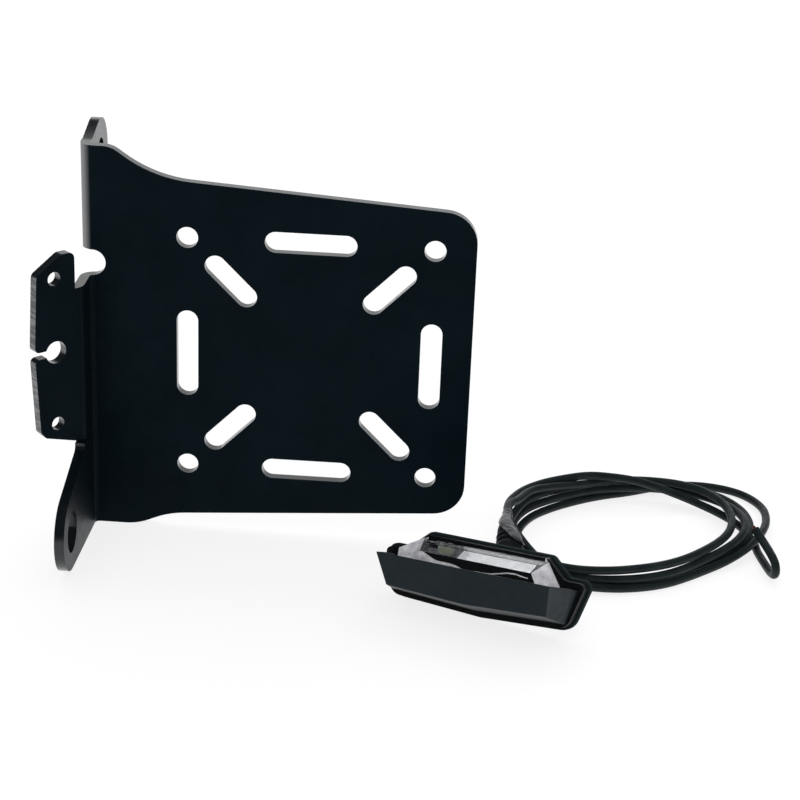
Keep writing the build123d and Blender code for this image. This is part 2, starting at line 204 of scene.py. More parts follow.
sideways = axis_value(tree, add(tree, "NewGeometry").outputs["Normal"], "X")
facing_left = ramp(tree, sideways, 1.0, 0.0, start=-0.68, end=-0.6)
# Painted highlight: light streaks in the colour of the cut edges that face left.
painted_streaks = calc(tree, "MULTIPLY", ramp(tree, streaks, 0.0, 1.0, start=0.45, end=0.6), facing_left)
coated = ramp(tree, noise(tree, place, size=0.01, detail=3.0), *EDGE_COAT)
fill(
    tree,
    shader,
    Base_Color=blend(tree, painted_streaks, coated, PAINTED_STREAK_LIGHT),
    Roughness=ramp(tree, noise(tree, place, size=0.002, detail=3.0), low=0.3, high=0.42),
    Specular_IOR_Level=0.1,
    Coat_Weight=1.0,
    Coat_Roughness=0.22,
    Coat_IOR=1.5,
    Coat_Normal=bump(tree, streaks, depth=0.00004),
)
for face in bracket.data.polygons:
    on_slope = abs(face.normal.z) > SHEET_UPRIGHT
    in_plate = face.center.x > PLATE_LEFT and abs(face.normal.y) < SHEET_UPRIGHT
    in_flag = face.center.x < FLAG_RIGHT and abs(face.normal.dot(FLAG_NORMAL)) < SHEET_UPRIGHT
    in_leg = face.center.x < LEG_RIGHT and abs(face.normal.x) < SHEET_UPRIGHT
    face.material_index = int(on_slope or in_plate or in_flag or in_leg)
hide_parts("bracket")
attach(bracket, "root")

# Rubber seat of the light: a moulded pad with a rounded rim that shows all round the foot of the light,
# clamped between the light and the bracket's flag when the two studs are tightened.
RUBBER = ((0.007, 0.0135, 0.0155), (0.014, 0.0225, 0.025))
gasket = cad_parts["lamp_gasket"]
gasket.data.materials.clear()
tree, shader, place = new_material("moulded_rubber", gasket)
fill(
    tree,
    shader,
    Base_Color=ramp(tree, noise(tree, place, size=0.004, detail=4.0), *RUBBER),
    Roughness=ramp(tree, noise(tree, place, size=0.002, detail=3.0), low=0.62, high=0.78),
    Specular_IOR_Level=0.08,
    Normal=bump(tree, noise(tree, place, size=0.0005, detail=3.0), depth=0.00003),
)

# Foot of the light: a black moulded plate on the rubber seat. It holds the studs and the board, and the lens
# and the visor are welded to it. Under the lens its deck is painted white to throw the light out, behind the
# board and in specks over the driver. Under both ends of the lens the white is a painted reflection of the
# bright room seen through the lens.
FLOOR = cad_box[0][2]
LAMP_PLACE = (0.0581, -0.0472, FLOOR)
LAMP_TURN = -22.9
LAMP_LEAN = 68.3
LAMP_TILT = 3.0
PAINT_LOW = 0.018
PAINT_HIGH = 0.0201
PAINT_LEFT = -0.0068
PAINT_END = 0.0186
PAINT_FRONT = 0.0095
SPECK = 0.0007
SPECK_PAINT = 0.7
TOE_LEFT = -0.0276
TOE_SLOPE = 0.557
TOE_BACK = 0.0313
HEEL_SLOPE = 1.438
HEEL_BACK = 0.0485
FOOT_BLACK = ((0.003, 0.004, 0.005), (0.007, 0.009, 0.01))
DECK_WHITE = ((0.66, 0.67, 0.7), (0.8, 0.8, 0.82))
lamp_frame = (
    Matrix.Translation(LAMP_PLACE)
    @ Matrix.Rotation(radians(LAMP_TURN), 4, "Z")
    @ Matrix.Rotation(radians(LAMP_LEAN), 4, "X")
    @ Matrix.Rotation(radians(LAMP_TILT), 4, "Z")
)
to_lamp = lamp_frame.inverted()
lamp_turn = lamp_frame.to_3x3()


def between(tree, value, low, high):
    """1 where a value lies between two limits, else 0."""
    above = calc(tree, "GREATER_THAN", value, low)
    return calc(tree, "MULTIPLY", above, calc(tree, "LESS_THAN", value, high))


def slanted(tree, up, along, slope):
    """Height up the light, measured from a line that slopes along it."""
    return calc(tree, "ADD", up, calc(tree, "MULTIPLY", along, slope))


def in_lamp(tree, place):
    """Place in the light's own frame, whole and as its values along and up the light."""
    turned = {"Location": LAMP_PLACE, "Rotation": lamp_frame.to_euler()}
    inside = add(tree, "Mapping", {"vector_type": "TEXTURE"}, Vector=place, **turned).outputs["Vector"]
    return inside, axis_value(tree, inside, "X"), axis_value(tree, inside, "Y")


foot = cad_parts["lamp_base"]
foot.data.materials.clear()
tree, shader, place = new_material("moulded_foot", foot)
inside, along, up = in_lamp(tree, place)
specks = ramp(tree, noise(tree, inside, size=SPECK, detail=1.0), 0.0, SPECK_PAINT, start=0.5, end=0.55)
strip = calc(tree, "MAXIMUM", between(tree, along, PAINT_LEFT, PAINT_END), specks)
strip = calc(tree, "MULTIPLY", strip, between(tree, along, -PAINT_END, PAINT_END))
strip = calc(tree, "MULTIPLY", strip, between(tree, up, PAINT_LOW, PAINT_HIGH))
# Painted reflection: white on the deck under both ends of the lens.
toe = between(tree, slanted(tree, up, along, -TOE_SLOPE), 0.0, TOE_BACK)
toe = calc(tree, "MULTIPLY", toe, between(tree, along, TOE_LEFT, -PAINT_END))
heel = between(tree, slanted(tree, up, along, HEEL_SLOPE), 0.0, HEEL_BACK)
heel = calc(tree, "MULTIPLY", heel, calc(tree, "GREATER_THAN", along, PAINT_END))
behind_visor = calc(tree, "GREATER_THAN", up, PAINT_FRONT)
painted_reflection_ends = calc(tree, "MULTIPLY", calc(tree, "MAXIMUM", toe, heel), behind_visor)
moulded = ramp(tree, noise(tree, place, size=0.003, detail=3.0), *FOOT_BLACK)
paint_and_reflection = ramp(tree, noise(tree, place, size=0.002, detail=3.0), *DECK_WHITE)
fill(
    tree,
    shader,
    Base_Color=blend(tree, calc(tree, "MAXIMUM", strip, painted_reflection_ends), moulded, paint_and_reflection),
    Roughness=ramp(tree, noise(tree, place, size=0.001, detail=3.0), low=0.42, high=0.6),
    Specular_IOR_Level=0.12,
    Normal=bump(tree, noise(tree, place, size=0.0003), depth=0.00001),
)

# Studs of the light: two M4 zinc plated studs, each moulded into the foot by a collar that ends flush with
# the seat. The thread is rolled, so it stands on a thinner root.
STUD_SPACING = 0.0467
STUD_LINE = 0.009
STUD_SIDES = 32
COLLAR_RADIUS = 0.003
COLLAR_TOP = 0.0047
ROOT_RADIUS = 0.00158
THREAD_RADIUS = 0.002
THREAD_PITCH = 0.0007
THREAD_TURNS = 15
THREAD_STEPS = 24
THREAD_SMOOTH = 30
STUD_OUT = 0.012
STUD_POINT = 0.0004
ZINC = ((0.42, 0.42, 0.41), (0.6, 0.6, 0.58))


def drawn(name, rows, sides):
    """Closed bar drawn from a round through rows of (x, y, z, half width, half depth)."""
    bpy.ops.object.select_all(action="DESELECT")
    bpy.ops.mesh.primitive_circle_add(vertices=sides, radius=1.0, fill_type="NGON")
    piece = bpy.context.active_object
    piece.name = name
    bpy.ops.object.mode_set(mode="EDIT")
    bpy.ops.mesh.select_all(action="SELECT")
    bpy.ops.transform.resize(value=(rows[0][3], rows[0][4], 1.0))
    bpy.ops.transform.translate(value=rows[0][:3])
    for before, row in zip(rows, rows[1:]):
        step = Vector(row[:3]) - Vector(before[:3])
        bpy.ops.mesh.extrude_region_move(TRANSFORM_OT_translate={"value": step})
        growth = (row[3] / before[3], row[4] / before[4], 1.0)
        bpy.ops.transform.resize(value=growth, center_override=row[:3])
    bpy.ops.mesh.select_all(action="SELECT")
    bpy.ops.mesh.normals_make_consistent(inside=False)
    bpy.ops.object.mode_set(mode="OBJECT")
    return piece


def seat(piece, matrix):
    """Puts a piece in its place for good, with the place in its mesh."""
    bpy.ops.object.select_all(action="DESELECT")
    piece.select_set(True)
    bpy.context.view_layer.objects.active = piece
    piece.matrix_world = matrix @ piece.matrix_world
    bpy.ops.object.transform_apply(location=True, rotation=True, scale=True)


def twin(piece):
    """Copy of a piece with its own mesh."""
    other = bpy.data.objects.new(piece.name, piece.data.copy())
    bpy.context.scene.collection.objects.link(other)
    return other


def joined(name, pieces):
    """Several pieces as one mesh."""
    bpy.ops.object.select_all(action="DESELECT")
    for piece in pieces:
        piece.select_set(True)
    bpy.context.view_layer.objects.active = pieces[0]
    bpy.ops.object.join()
    pieces[0].name = name
    return pieces[0]


def thread():
    """Ridge of a screw thread: a three sided section carried round and down."""
    bpy.ops.object.select_all(action="DESELECT")
    bpy.ops.mesh.primitive_circle_add(vertices=3, radius=THREAD_PITCH / 2)
    ridge = bpy.context.active_object
    seat(ridge, Matrix.Rotation(pi / 2, 4, "X"))
    low = min(vertex.co.x for vertex in ridge.data.vertices)
    high = max(vertex.co.x for vertex in ridge.data.vertices)
    bpy.ops.object.mode_set(mode="EDIT")
    bpy.ops.mesh.select_all(action="SELECT")
    bpy.ops.transform.resize(value=((THREAD_RADIUS - ROOT_RADIUS) / (high - low), 1.0, 1.0))
    bpy.ops.transform.translate(value=((THREAD_RADIUS + ROOT_RADIUS) / 2, 0.0, 0.0))
    bpy.ops.object.mode_set(mode="OBJECT")
    worked(
        ridge,
        "SCREW",
        angle=2 * pi,
        screw_offset=-THREAD_PITCH,
        iterations=THREAD_TURNS,
        steps=THREAD_STEPS,
        render_steps=THREAD_STEPS,
    )
    return ridge


rows = [
    (0.0, 0.0, COLLAR_TOP, COLLAR_RADIUS, COLLAR_RADIUS),
    (0.0, 0.0, 0.0, COLLAR_RADIUS, COLLAR_RADIUS),
    (0.0, 0.0, 0.0, ROOT_RADIUS, ROOT_RADIUS),
    (0.0, 0.0, STUD_POINT - STUD_OUT, ROOT_RADIUS, ROOT_RADIUS),
    (0.0, 0.0, -STUD_OUT, ROOT_RADIUS - STUD_POINT, ROOT_RADIUS - STUD_POINT),
]
ridge = thread()
seat(ridge, Matrix.Translation((0, 0, -THREAD_PITCH)))
stud = joined("stud", [drawn("rod", rows, STUD_SIDES), ridge])
studs = [stud, twin(stud)]
for stud, side in zip(studs, (-1, 1)):
    seat(stud, lamp_frame @ Matrix.Translation((side * STUD_SPACING / 2, STUD_LINE, 0)))
studs = joined("threaded_studs", studs)
bpy.ops.object.shade_smooth_by_angle(angle=radians(THREAD_SMOOTH))
tree, shader, place = new_material("zinc_plate", studs)
fill(
    tree,
    shader,
    Base_Color=ramp(tree, noise(tree, place, size=0.002, detail=4.0), *ZINC),
    Roughness=ramp(tree, noise(tree, place, size=0.0008, detail=3.0), low=0.25, high=0.45),
    Metallic=1.0,
    Normal=bump(tree, noise(tree, place, size=0.0003), depth=0.00001),
)
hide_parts("lamp_studs")
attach(studs, "root")

# Circuit board: a glass fibre plate under a white solder mask, through which its copper tracks stand out.
# It is laid in the recess of the foot and held down by the lens.
TRACKS_IN_METRE = 450.0
TRACK_WHITE = (0.8, 0.78, 0.84)
MASK_WHITE = (0.55, 0.53, 0.59)
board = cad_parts["led_board"]
board.data.materials.clear()
tree, shader, place = new_material("solder_mask", board)
pattern = {"feature": "DISTANCE_TO_EDGE", "distance": "MANHATTAN"}
tracks = add(tree, "TexVoronoi", pattern, Vector=place, Scale=TRACKS_IN_METRE).outputs["Distance"]
fill(
    tree,
    shader,
    Base_Color=ramp(tree, tracks, TRACK_WHITE, MASK_WHITE, start=0.05, end=0.12),
    Roughness=ramp(tree, noise(tree, place, size=0.001), low=0.3, high=0.45),
    Normal=bump(tree, tracks, depth=0.00003),
)

# LEDs: three ceramic chips soldered to the board, each with a round cup in its top that is filled with yellow
# green phosphor under a clear resin.
CHIP_RIM = 0.0004
CUP_STEP = 0.0002
CUP_DEPTH = 0.0002
CUP_CUTS = 5
FACING_OUT = 0.999
SAME_PLACE = 1e-5
CERAMIC = ((0.56, 0.64, 0.58), (0.74, 0.8, 0.74))
PHOSPHOR = ((0.52, 0.58, 0.34), (0.82, 0.85, 0.62))
lamp_out = lamp_turn @ Vector((0, 0, 1))


def pick(piece, kind, test):
    """Opens a piece with the points or faces selected that pass a test of their place in the light."""
    bpy.ops.object.mode_set(mode="EDIT")
    bpy.ops.mesh.select_mode(type=kind)
    bpy.ops.mesh.select_all(action="DESELECT")
    bpy.ops.object.mode_set(mode="OBJECT")
    if kind == "VERT":
        for point in piece.data.vertices:
            point.select = test(to_lamp @ point.co)
    else:
        for face in piece.data.polygons:
            face.select = test(to_lamp @ face.center)
    bpy.ops.object.mode_set(mode="EDIT")


leds = merged_copy("leds", "led_chips")
bpy.ops.object.mode_set(mode="OBJECT")
tree, shader, place = new_material("chip_ceramic", leds)
fill(
    tree,
    shader,
    Base_Color=ramp(tree, noise(tree, place, size=0.001), *CERAMIC),
    Roughness=ramp(tree, noise(tree, place, size=0.0008), low=0.35, high=0.5),
    Normal=bump(tree, noise(tree, place, size=0.0005), depth=0.00001),
)
tree, shader, place = new_material("phosphor", leds)
fill(
    tree,
    shader,
    Base_Color=ramp(tree, noise(tree, place, size=0.0006, detail=3.0), *PHOSPHOR),
    Roughness=ramp(tree, noise(tree, place, size=0.0004), low=0.15, high=0.3),
    Normal=bump(tree, noise(tree, place, size=0.0004), depth=0.00002),
)
tops = [to_lamp @ face.center for face in leds.data.polygons if face.normal.dot(lamp_out) > FACING_OUT]
for top in tops:
    pick(leds, "FACE", lambda place: (place - top).length < SAME_PLACE)
    bpy.ops.mesh.inset(thickness=CHIP_RIM)
    bpy.ops.mesh.subdivide(number_cuts=CUP_CUTS)
    bpy.ops.mesh.dissolve_faces()
    bpy.ops.transform.tosphere(value=1.0)
    bpy.ops.mesh.inset(thickness=CUP_STEP)
    bpy.ops.transform.translate(value=lamp_out * -CUP_DEPTH)
    leds.active_material_index = 1
    bpy.ops.object.material_slot_assign()
bpy.ops.object.mode_set(mode="OBJECT")
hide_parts("leds")
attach(leds, "root")

# Driver chip: a small black package of moulded resin, which feeds the LEDs. It is soldered to the board
# beside the first one.
RESIN_BLACK = ((0.004, 0.005, 0.006), (0.01, 0.011, 0.012))
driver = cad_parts["driver_chip"]
driver.data.materials.clear()
tree, shader, place = new_material("chip_package", driver)
fill(
    tree,
    shader,
    Base_Color=ramp(tree, noise(tree, place, size=0.001, detail=3.0), *RESIN_BLACK),
    Roughness=ramp(tree, noise(tree, place, size=0.0005), low=0.45, high=0.6),
    Normal=bump(tree, noise(tree, place, size=0.0002), depth=0.00001),
)

# Light guide: a milky plate slid into a slot of the lens, behind its slanted wall, over the right hand LEDs.
# Its back and its ends carry painted shade in black.
GUIDE_SLOPE = 22.4
PAINTED_SHADE_BLACK = ((0.004, 0.005, 0.006), (0.008, 0.009, 0.01))
MILK = ((0.56, 0.57, 0.6), (0.76, 0.76, 0.78))
guide_out = lamp_turn @ Vector((0, cos(radians(GUIDE_SLOPE)), sin(radians(GUIDE_SLOPE))))
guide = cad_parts["lamp_diffuser"]
guide.data.materials.clear()
tree, shader, place = new_material("milky_guide", guide)
normal = add(tree, "NewGeometry").outputs["Normal"]
facing = add(tree, "VectorMath", {"operation": "DOT_PRODUCT"}, _0=normal, _1=guide_out).outputs["Value"]
# Painted shade: black on every face of the guide but the outward one.
painted_shade = ramp(tree, noise(tree, place, size=0.002, detail=3.0), *PAINTED_SHADE_BLACK)
milk = ramp(tree, noise(tree, place, size=0.004, detail=4.0), *MILK)
fill(
    tree,
    shader,
    Base_Color=blend(tree, calc(tree, "GREATER_THAN", facing, 0.5), painted_shade, milk),
    Roughness=ramp(tree, noise(tree, place, size=0.002), low=0.25, high=0.4),
    Normal=bump(tree, noise(tree, place, size=0.003), depth=0.00004),
)

# Lens: a clear polished block moulded over the board, with a front brow, a slanted back wall and slanted
# ends. Its left end runs out in a toe over the foot, and its ends are frosted. Its brow is coloured black as
# a painted dark reflection with a wavy edge, with a painted pale reflection on the left and a painted
# highlight line.
LENS_EDGE = 0.0002
FLAT_WITHIN = 1
DECK = 0.0062
END_FACES = 0.0186
TOE_CORNER = Vector((-0.027, 0.0101, 0.006))
TOE_NEAR = 0.0003
TOE_REACH = Vector((-0.0006, 0.0061, 0.0))
BROW_LOW = 0.0141
PALE_SLOPE = 0.204
PALE_BACK = 0.01363
LINE_SLOPE = -0.08
LINE_PLACE = 0.01454
LINE_HALF = 0.0002
LINE_LEFT = -0.003
LINE_RIGHT = 0.017
WAVE = 0.0006
ACRYLIC = 1.49
CLEAR = (0.97, 0.98, 0.985, 1.0)
PAINTED_DARK_REFLECTION = ((0.002, 0.003, 0.004), (0.006, 0.007, 0.008))
PAINTED_PALE_REFLECTION = ((0.45, 0.45, 0.5), (0.95, 0.95, 0.98))
FROST = ((0.6, 0.6, 0.66), (0.97, 0.97, 1.0))
lens = merged_copy("lamp_lens", "clear_lens")
bpy.ops.object.mode_set(mode="OBJECT")
pick(lens, "VERT", lambda place: (place - TOE_CORNER).length < TOE_NEAR)
bpy.ops.transform.translate(value=lamp_turn @ TOE_REACH)
bpy.ops.mesh.select_all(action="SELECT")
bpy.ops.mesh.vert_connect_nonplanar(angle_limit=radians(FLAT_WITHIN))
break_edges(lens, LENS_EDGE)
lens.visible_shadow = False
tree, shader, place = new_material("polished_clear", lens)
fill(
    tree,
    shader,
    Base_Color=CLEAR,
    Transmission_Weight=1.0,
    IOR=ACRYLIC,
    Roughness=ramp(tree, noise(tree, place, size=0.004, detail=3.0), low=0.0, high=0.05),
    Normal=bump(tree, noise(tree, place, size=0.005), depth=0.0002),
)
tree, shader, place = new_material("brow_painted_reflection", lens)
inside, along, up = in_lamp(tree, place)
# Painted reflection and highlight: the brow is black with a wavy edge, pale to the left, with a pale line
# along it.
wavy = calc(tree, "ADD", up, ramp(tree, noise(tree, inside, size=0.008, detail=0.0), -WAVE, WAVE))
pale_reflection = calc(tree, "LESS_THAN", slanted(tree, wavy, along, PALE_SLOPE), PALE_BACK)
highlight_line = slanted(tree, wavy, along, LINE_SLOPE)
highlight_line = between(tree, highlight_line, LINE_PLACE - LINE_HALF, LINE_PLACE + LINE_HALF)
highlight_line = calc(tree, "MULTIPLY", highlight_line, between(tree, along, LINE_LEFT, LINE_RIGHT))
dark_reflection = ramp(tree, noise(tree, place, size=0.002, detail=3.0), *PAINTED_DARK_REFLECTION)
lavender = ramp(tree, noise(tree, inside, size=0.002, detail=4.0), *PAINTED_PALE_REFLECTION)
fill(
    tree,
    shader,
    Base_Color=blend(tree, calc(tree, "MAXIMUM", pale_reflection, highlight_line), dark_reflection, lavender),
    Roughness=ramp(tree, noise(tree, place, size=0.001), low=0.1, high=0.25),
    Normal=bump(tree, noise(tree, place, size=0.005), depth=0.0003),
)
tree, shader, place = new_material("frosted_end", lens)
inside, along, up = in_lamp(tree, place)
fill(
    tree,
    shader,
    Base_Color=ramp(tree, noise(tree, inside, size=0.0025, detail=4.0), *FROST),
    Transmission_Weight=0.2,
    IOR=ACRYLIC,
    Roughness=ramp(tree, noise(tree, place, size=0.002, detail=3.0), low=0.2, high=0.4),
    Normal=bump(tree, noise(tree, place, size=0.003), depth=0.0004),
)
pick(lens, "FACE", lambda place: abs(place.x) > END_FACES and place.z > DECK)
lens.active_material_index = 2
bpy.ops.object.material_slot_assign()
pick(lens, "FACE", lambda place: place.z > BROW_LOW)
lens.active_material_index = 1
bpy.ops.object.material_slot_assign()
bpy.ops.object.mode_set(mode="OBJECT")
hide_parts("lamp_lens")
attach(lens, "root")

# Visor: satin black hood that keeps the light off the rider behind. Its edges are softened by the mould,
# and its faces carry the fine texture of a sparked tool. Its left end leans a little more than its right.
VISOR_EDGE = 0.00025
LEFT_CORNERS = [
    (Vector((-0.026, 0.0156, 0.0222)), Vector((-0.00065, 0.0, 0.0))),
    (Vector((-0.02495, 0.00715, 0.018)), Vector((0.00095, -0.0003, -0.00015))),
]
CORNER_NEAR = 0.0014
VISOR_BLACK = ((0.003, 0.0105, 0.015), (0.006, 0.0145, 0.0195))
visor = merged_copy("lamp_visor", "light_visor")
bpy.ops.object.mode_set(mode="OBJECT")
for corner, reach in LEFT_CORNERS:
    pick(visor, "VERT", lambda place: (place - corner).length < CORNER_NEAR)
    bpy.ops.transform.translate(value=lamp_turn @ reach)
bpy.ops.mesh.select_all(action="SELECT")
bpy.ops.mesh.vert_connect_nonplanar(angle_limit=radians(FLAT_WITHIN))
break_edges(visor, VISOR_EDGE)
tree, shader, place = new_material("sparked_plastic", visor)
fill(
    tree,
    shader,
    Base_Color=ramp(tree, noise(tree, place, size=0.01, detail=4.0), *VISOR_BLACK),
    Roughness=ramp(tree, noise(tree, place, size=0.003, detail=3.0), low=0.42, high=0.55),
    Specular_IOR_Level=0.2,
    Normal=bump(tree, noise(tree, place, size=0.0003, detail=3.0), depth=0.000015),
)
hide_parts("lamp_visor")
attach(visor, "root")

# Boot of the lead: a black rubber strain relief moulded to the back of the light, flattened, with three ribs.
# Rows run from inside the seat's hole to the lead, in mm: place, height above the floor, half width and
# half height.
BOOT_ROWS = [
    (58.3, -45.6, 9.1, 3.0, 3.0),
    (59.1, -43.6, 8.2, 3.1, 3.1),
    (60.3, -40.6, 7.3, 4.2, 3.5),
    (61.7, -37.0, 7.3, 4.5, 3.5),
    (63.0, -32.5, 8.5, 4.6, 3.4),
    (64.2, -28.5, 9.9, 4.6, 3.2),
    (64.9, -25.2, 11.0, 4.5, 3.1),
]
RIB_ROWS = [
    (65.0, -23.4, 11.5, 4.35, 3.05),
    (64.8, -21.0, 11.9, 4.05, 2.95),
    (64.5, -18.6, 12.2, 3.75, 2.85),
]
RIB_FROM = -0.75
RIB_TO = 0.55
GROOVE_FROM = 0.75
GROOVE_TO = 1.15
GROOVE_DEPTH = 0.55
NOSE_ROWS = [
    (64.2, -16.2, 12.5, 3.3, 2.6),
    (63.8, -12.5, 12.7, 2.5, 2.2),
    (63.8, -8.5, 12.75, 1.75, 1.7),
    (63.95, -4.5, 12.65, 1.4, 1.4),
]
BOOT_SIDES = 24
BOOT_SMOOTH = 60
BOOT_BLACK = ((0.004, 0.006, 0.008), (0.01, 0.013, 0.015))


def drawn_back(name, rows, sides):
    """Closed bar drawn towards the back through rows in mm, with their height above the floor."""
    turned = []
    for x, y, height, half_width, half_height in rows:
        turned.append((x / 1000, -height / 1000 - FLOOR, y / 1000, half_width / 1000, half_height / 1000))
    piece = drawn(name, turned, sides)
    seat(piece, Matrix.Rotation(-pi / 2, 4, "X"))
    return piece


rows = list(BOOT_ROWS)
for x, y, height, half_width, half_height in RIB_ROWS:
    rib = (height, half_width, half_height)
    groove = (height, half_width - GROOVE_DEPTH, half_height - GROOVE_DEPTH)
    rows += [(x, y + RIB_FROM, *rib), (x, y + RIB_TO, *rib)]
    rows += [(x, y + GROOVE_FROM, *groove), (x, y + GROOVE_TO, *groove)]
rows += NOSE_ROWS
boot = drawn_back("ribbed_boot", rows, BOOT_SIDES)
worked(boot, "SUBSURF", levels=1, render_levels=1)
bpy.ops.object.shade_smooth_by_angle(angle=radians(BOOT_SMOOTH))
tree, shader, place = new_material("boot_rubber", boot)
fill(
    tree,
    shader,
    Base_Color=ramp(tree, noise(tree, place, size=0.004, detail=3.0), *BOOT_BLACK),
    Roughness=ramp(tree, noise(tree, place, size=0.002, detail=3.0), low=0.42, high=0.6),
    Specular_IOR_Level=0.3,
    Normal=bump(tree, noise(tree, place, size=0.0008, detail=3.0), depth=0.00004),
)
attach(boot, "root")

# Shrink sleeve: a thin tube shrunk over the boot's nose and the start of the lead. Its rim is cut on a
# slant, and it shrank in folds. Its rows are like those of the boot. Its colour is mottled from black to
# grey, a painted shade and sheen of the folds.
SLEEVE_ROWS = [
    (65.0, -24.0, 11.4, 4.75, 3.4),
    (64.7, -20.5, 11.95, 4.4, 3.3),
    (64.3, -16.5, 12.4, 3.75, 3.0),
    (63.8, -12.5, 12.7, 2.9, 2.6),
    (63.75, -8.5, 12.75, 2.1, 2.05),
    (63.95, -4.5, 12.65, 1.7, 1.7),
    (64.2, -1.0, 12.5, 1.5, 1.5),
]
SLEEVE_CUTS = 2
SLEEVE_ROUNDING = 0.6
RIM_POINT = (0.0619, -0.0098, FLOOR + 0.0128)
RIM_UP = (0.533, 0.289, 0.796)
CRUMPLE = 0.004
CRUMPLE_DEPTH = 0.0006
TUBE_WALL = 0.00025
TUBE_DARK_AND_PAINTED_SHEEN = ((0.006, 0.009, 0.011), (0.08, 0.084, 0.092))
sleeve = drawn_back("shrunk_sleeve", SLEEVE_ROWS, BOOT_SIDES)
bpy.ops.object.mode_set(mode="EDIT")
bpy.ops.mesh.select_all(action="SELECT")
bpy.ops.mesh.subdivide(number_cuts=SLEEVE_CUTS, smoothness=SLEEVE_ROUNDING)
bpy.ops.mesh.select_all(action="SELECT")
bpy.ops.mesh.bisect(plane_co=RIM_POINT, plane_no=RIM_UP, clear_inner=True)
bpy.ops.mesh.select_all(action="SELECT")
bpy.ops.mesh.normals_make_consistent(inside=False)
bpy.ops.object.mode_set(mode="OBJECT")
folds = bpy.data.textures.new("sleeve_folds", "CLOUDS")
folds.noise_scale = CRUMPLE
worked(sleeve, "DISPLACE", texture=folds, strength=CRUMPLE_DEPTH, mid_level=0.5, texture_coords="LOCAL")
worked(sleeve, "SOLIDIFY", thickness=TUBE_WALL, offset=-1.0)
bpy.ops.object.shade_smooth_by_angle(angle=radians(SMOOTH_TO))
tree, shader, place = new_material("shrink_film", sleeve)
# Painted shade and sheen: patches from black to grey in the sleeve's colour.
fill(
    tree,
    shader,
    Base_Color=ramp(tree, noise(tree, place, size=0.003, detail=3.0), *TUBE_DARK_AND_PAINTED_SHEEN, start=0.4, end=0.62),
    Roughness=ramp(tree, noise(tree, place, size=0.002, detail=3.0), low=0.22, high=0.36),
    Specular_IOR_Level=0.35,
    Normal=bump(tree, noise(tree, place, size=0.0015, detail=3.0), depth=0.0004),
)
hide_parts("lead_sleeve")
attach(sleeve, "root")

# Lead: a round two core lead in a satin black jacket, wound by hand into a loose coil. From the left by the
# back, each eighth of a turn has a stop: a distance from the coil's middle in mm, and a level in thicknesses
# of the lead. Between the stops the line is smooth, and the turns settle clear of each other.
LEAD = 2.65
COIL_MIDDLE = Vector((105.0, 11.0, 0.0))
COIL_STOPS = [
    (37.5, 3.75), (29.0, 2.5), (30.0, 2.0), (33.5, 2.2), (31.0, 2.3), (28.5, 2.15), (33.5, 2.0), (43.0, 1.6),
    (38.5, 1.0), (29.5, 1.0), (29.5, 1.0), (35.0, 1.2), (35.5, 2.0), (29.5, 1.2), (35.0, 1.0), (42.5, 0.6),
    (36.5, 0.0), (29.0, 0.0), (32.0, 0.0), (51.3, 0.0), (40.3, 1.0), (30.5, 0.0), (36.0, 0.0), (46.0, 0.7),
    (38.5, 2.0), (32.0, 1.6), (34.0, 0.7), (40.8, 0.7), (36.7, 1.1), (28.0, 0.1), (33.0, 0.0), (40.5, 0.7),
    (40.5, 2.8), (31.5, 3.0), (24.5, 3.0), (31.5, 0.7), (38.5, 0.0),
]
STOPS_IN_TURN = 8
POINTS_BETWEEN = 3
LEAD_IN = [(64.2, -1.0, 12.5), (64.1, 2.8, 12.4), (65.0, 6.9, 12.1)]
TAIL = [
    (143.9, 4.7, 1.35),
    (145.4, -3.3, 1.5),
    (146.5, -9.0, 1.6),
    (147.3, -12.8, 2.2),
    (147.6, -14.8, 3.7),
    (147.5, -14.8, 6.0),
    (147.0, -12.8, 7.3),
    (146.0, -8.3, 7.9),
    (144.2, -2.9, 9.0),
    (142.0, 0.3, 11.2),
]
SETTLE_ROUNDS = 150
CLEARANCE = 1.03 * LEAD
SAME_STRETCH = 8
LINE_STEPS = 8
ROUND_STEPS = 6
JACKET = ((0.008, 0.0145, 0.0165), (0.017, 0.026, 0.0285))


def coil_point(place):
    """Point of the coil at a place among the stops, on the smooth line through the four stops around it."""
    count = min(int(place), len(COIL_STOPS) - 2)
    share = place - count
    near = [max(0, min(count + step, len(COIL_STOPS) - 1)) for step in (-1, 0, 1, 2)]
    before, here, after, beyond = [Vector(COIL_STOPS[stop]) for stop in near]
    bend = (2 * before - 5 * here + 4 * after - beyond) * share**2
    twist = (3 * here - before - 3 * after + beyond) * share**3
    radius, level = here + ((after - before) * share + bend + twist) / 2
    bearing = pi - 2 * pi * place / STOPS_IN_TURN
    height = LEAD * (max(level, 0.0) + 0.5)
    return COIL_MIDDLE + Vector((radius * cos(bearing), radius * sin(bearing), height))


def line_controls(points):
    """Control points whose line runs through the coil's points, none of them under the floor."""
    controls = list(points)
    for count in coil:
        bulge = 2 * points[count] - points[count - 1] - points[count + 1]
        controls[count] = points[count] + bulge / 8
        controls[count].z = max(controls[count].z, LEAD / 2)
    return controls


def line_samples(controls):
    """Four places on each stretch of the line, with the number of the point that they belong to."""
    samples = []
    for count in range(1, len(controls) - 1):
        before, here, after = controls[count - 1 : count + 2]
        for share in (0.0, 0.25, 0.5, 0.75):
            middle = here * (1 + 2 * share - 2 * share**2)
            samples.append((count, (before * (1 - share) ** 2 + middle + after * share**2) / 2))
    return samples


def on_floor(point):
    """Place in metres of a point given in mm, with its height above the floor."""
    x, y, height = point
    return x / 1000, y / 1000, height / 1000 + FLOOR


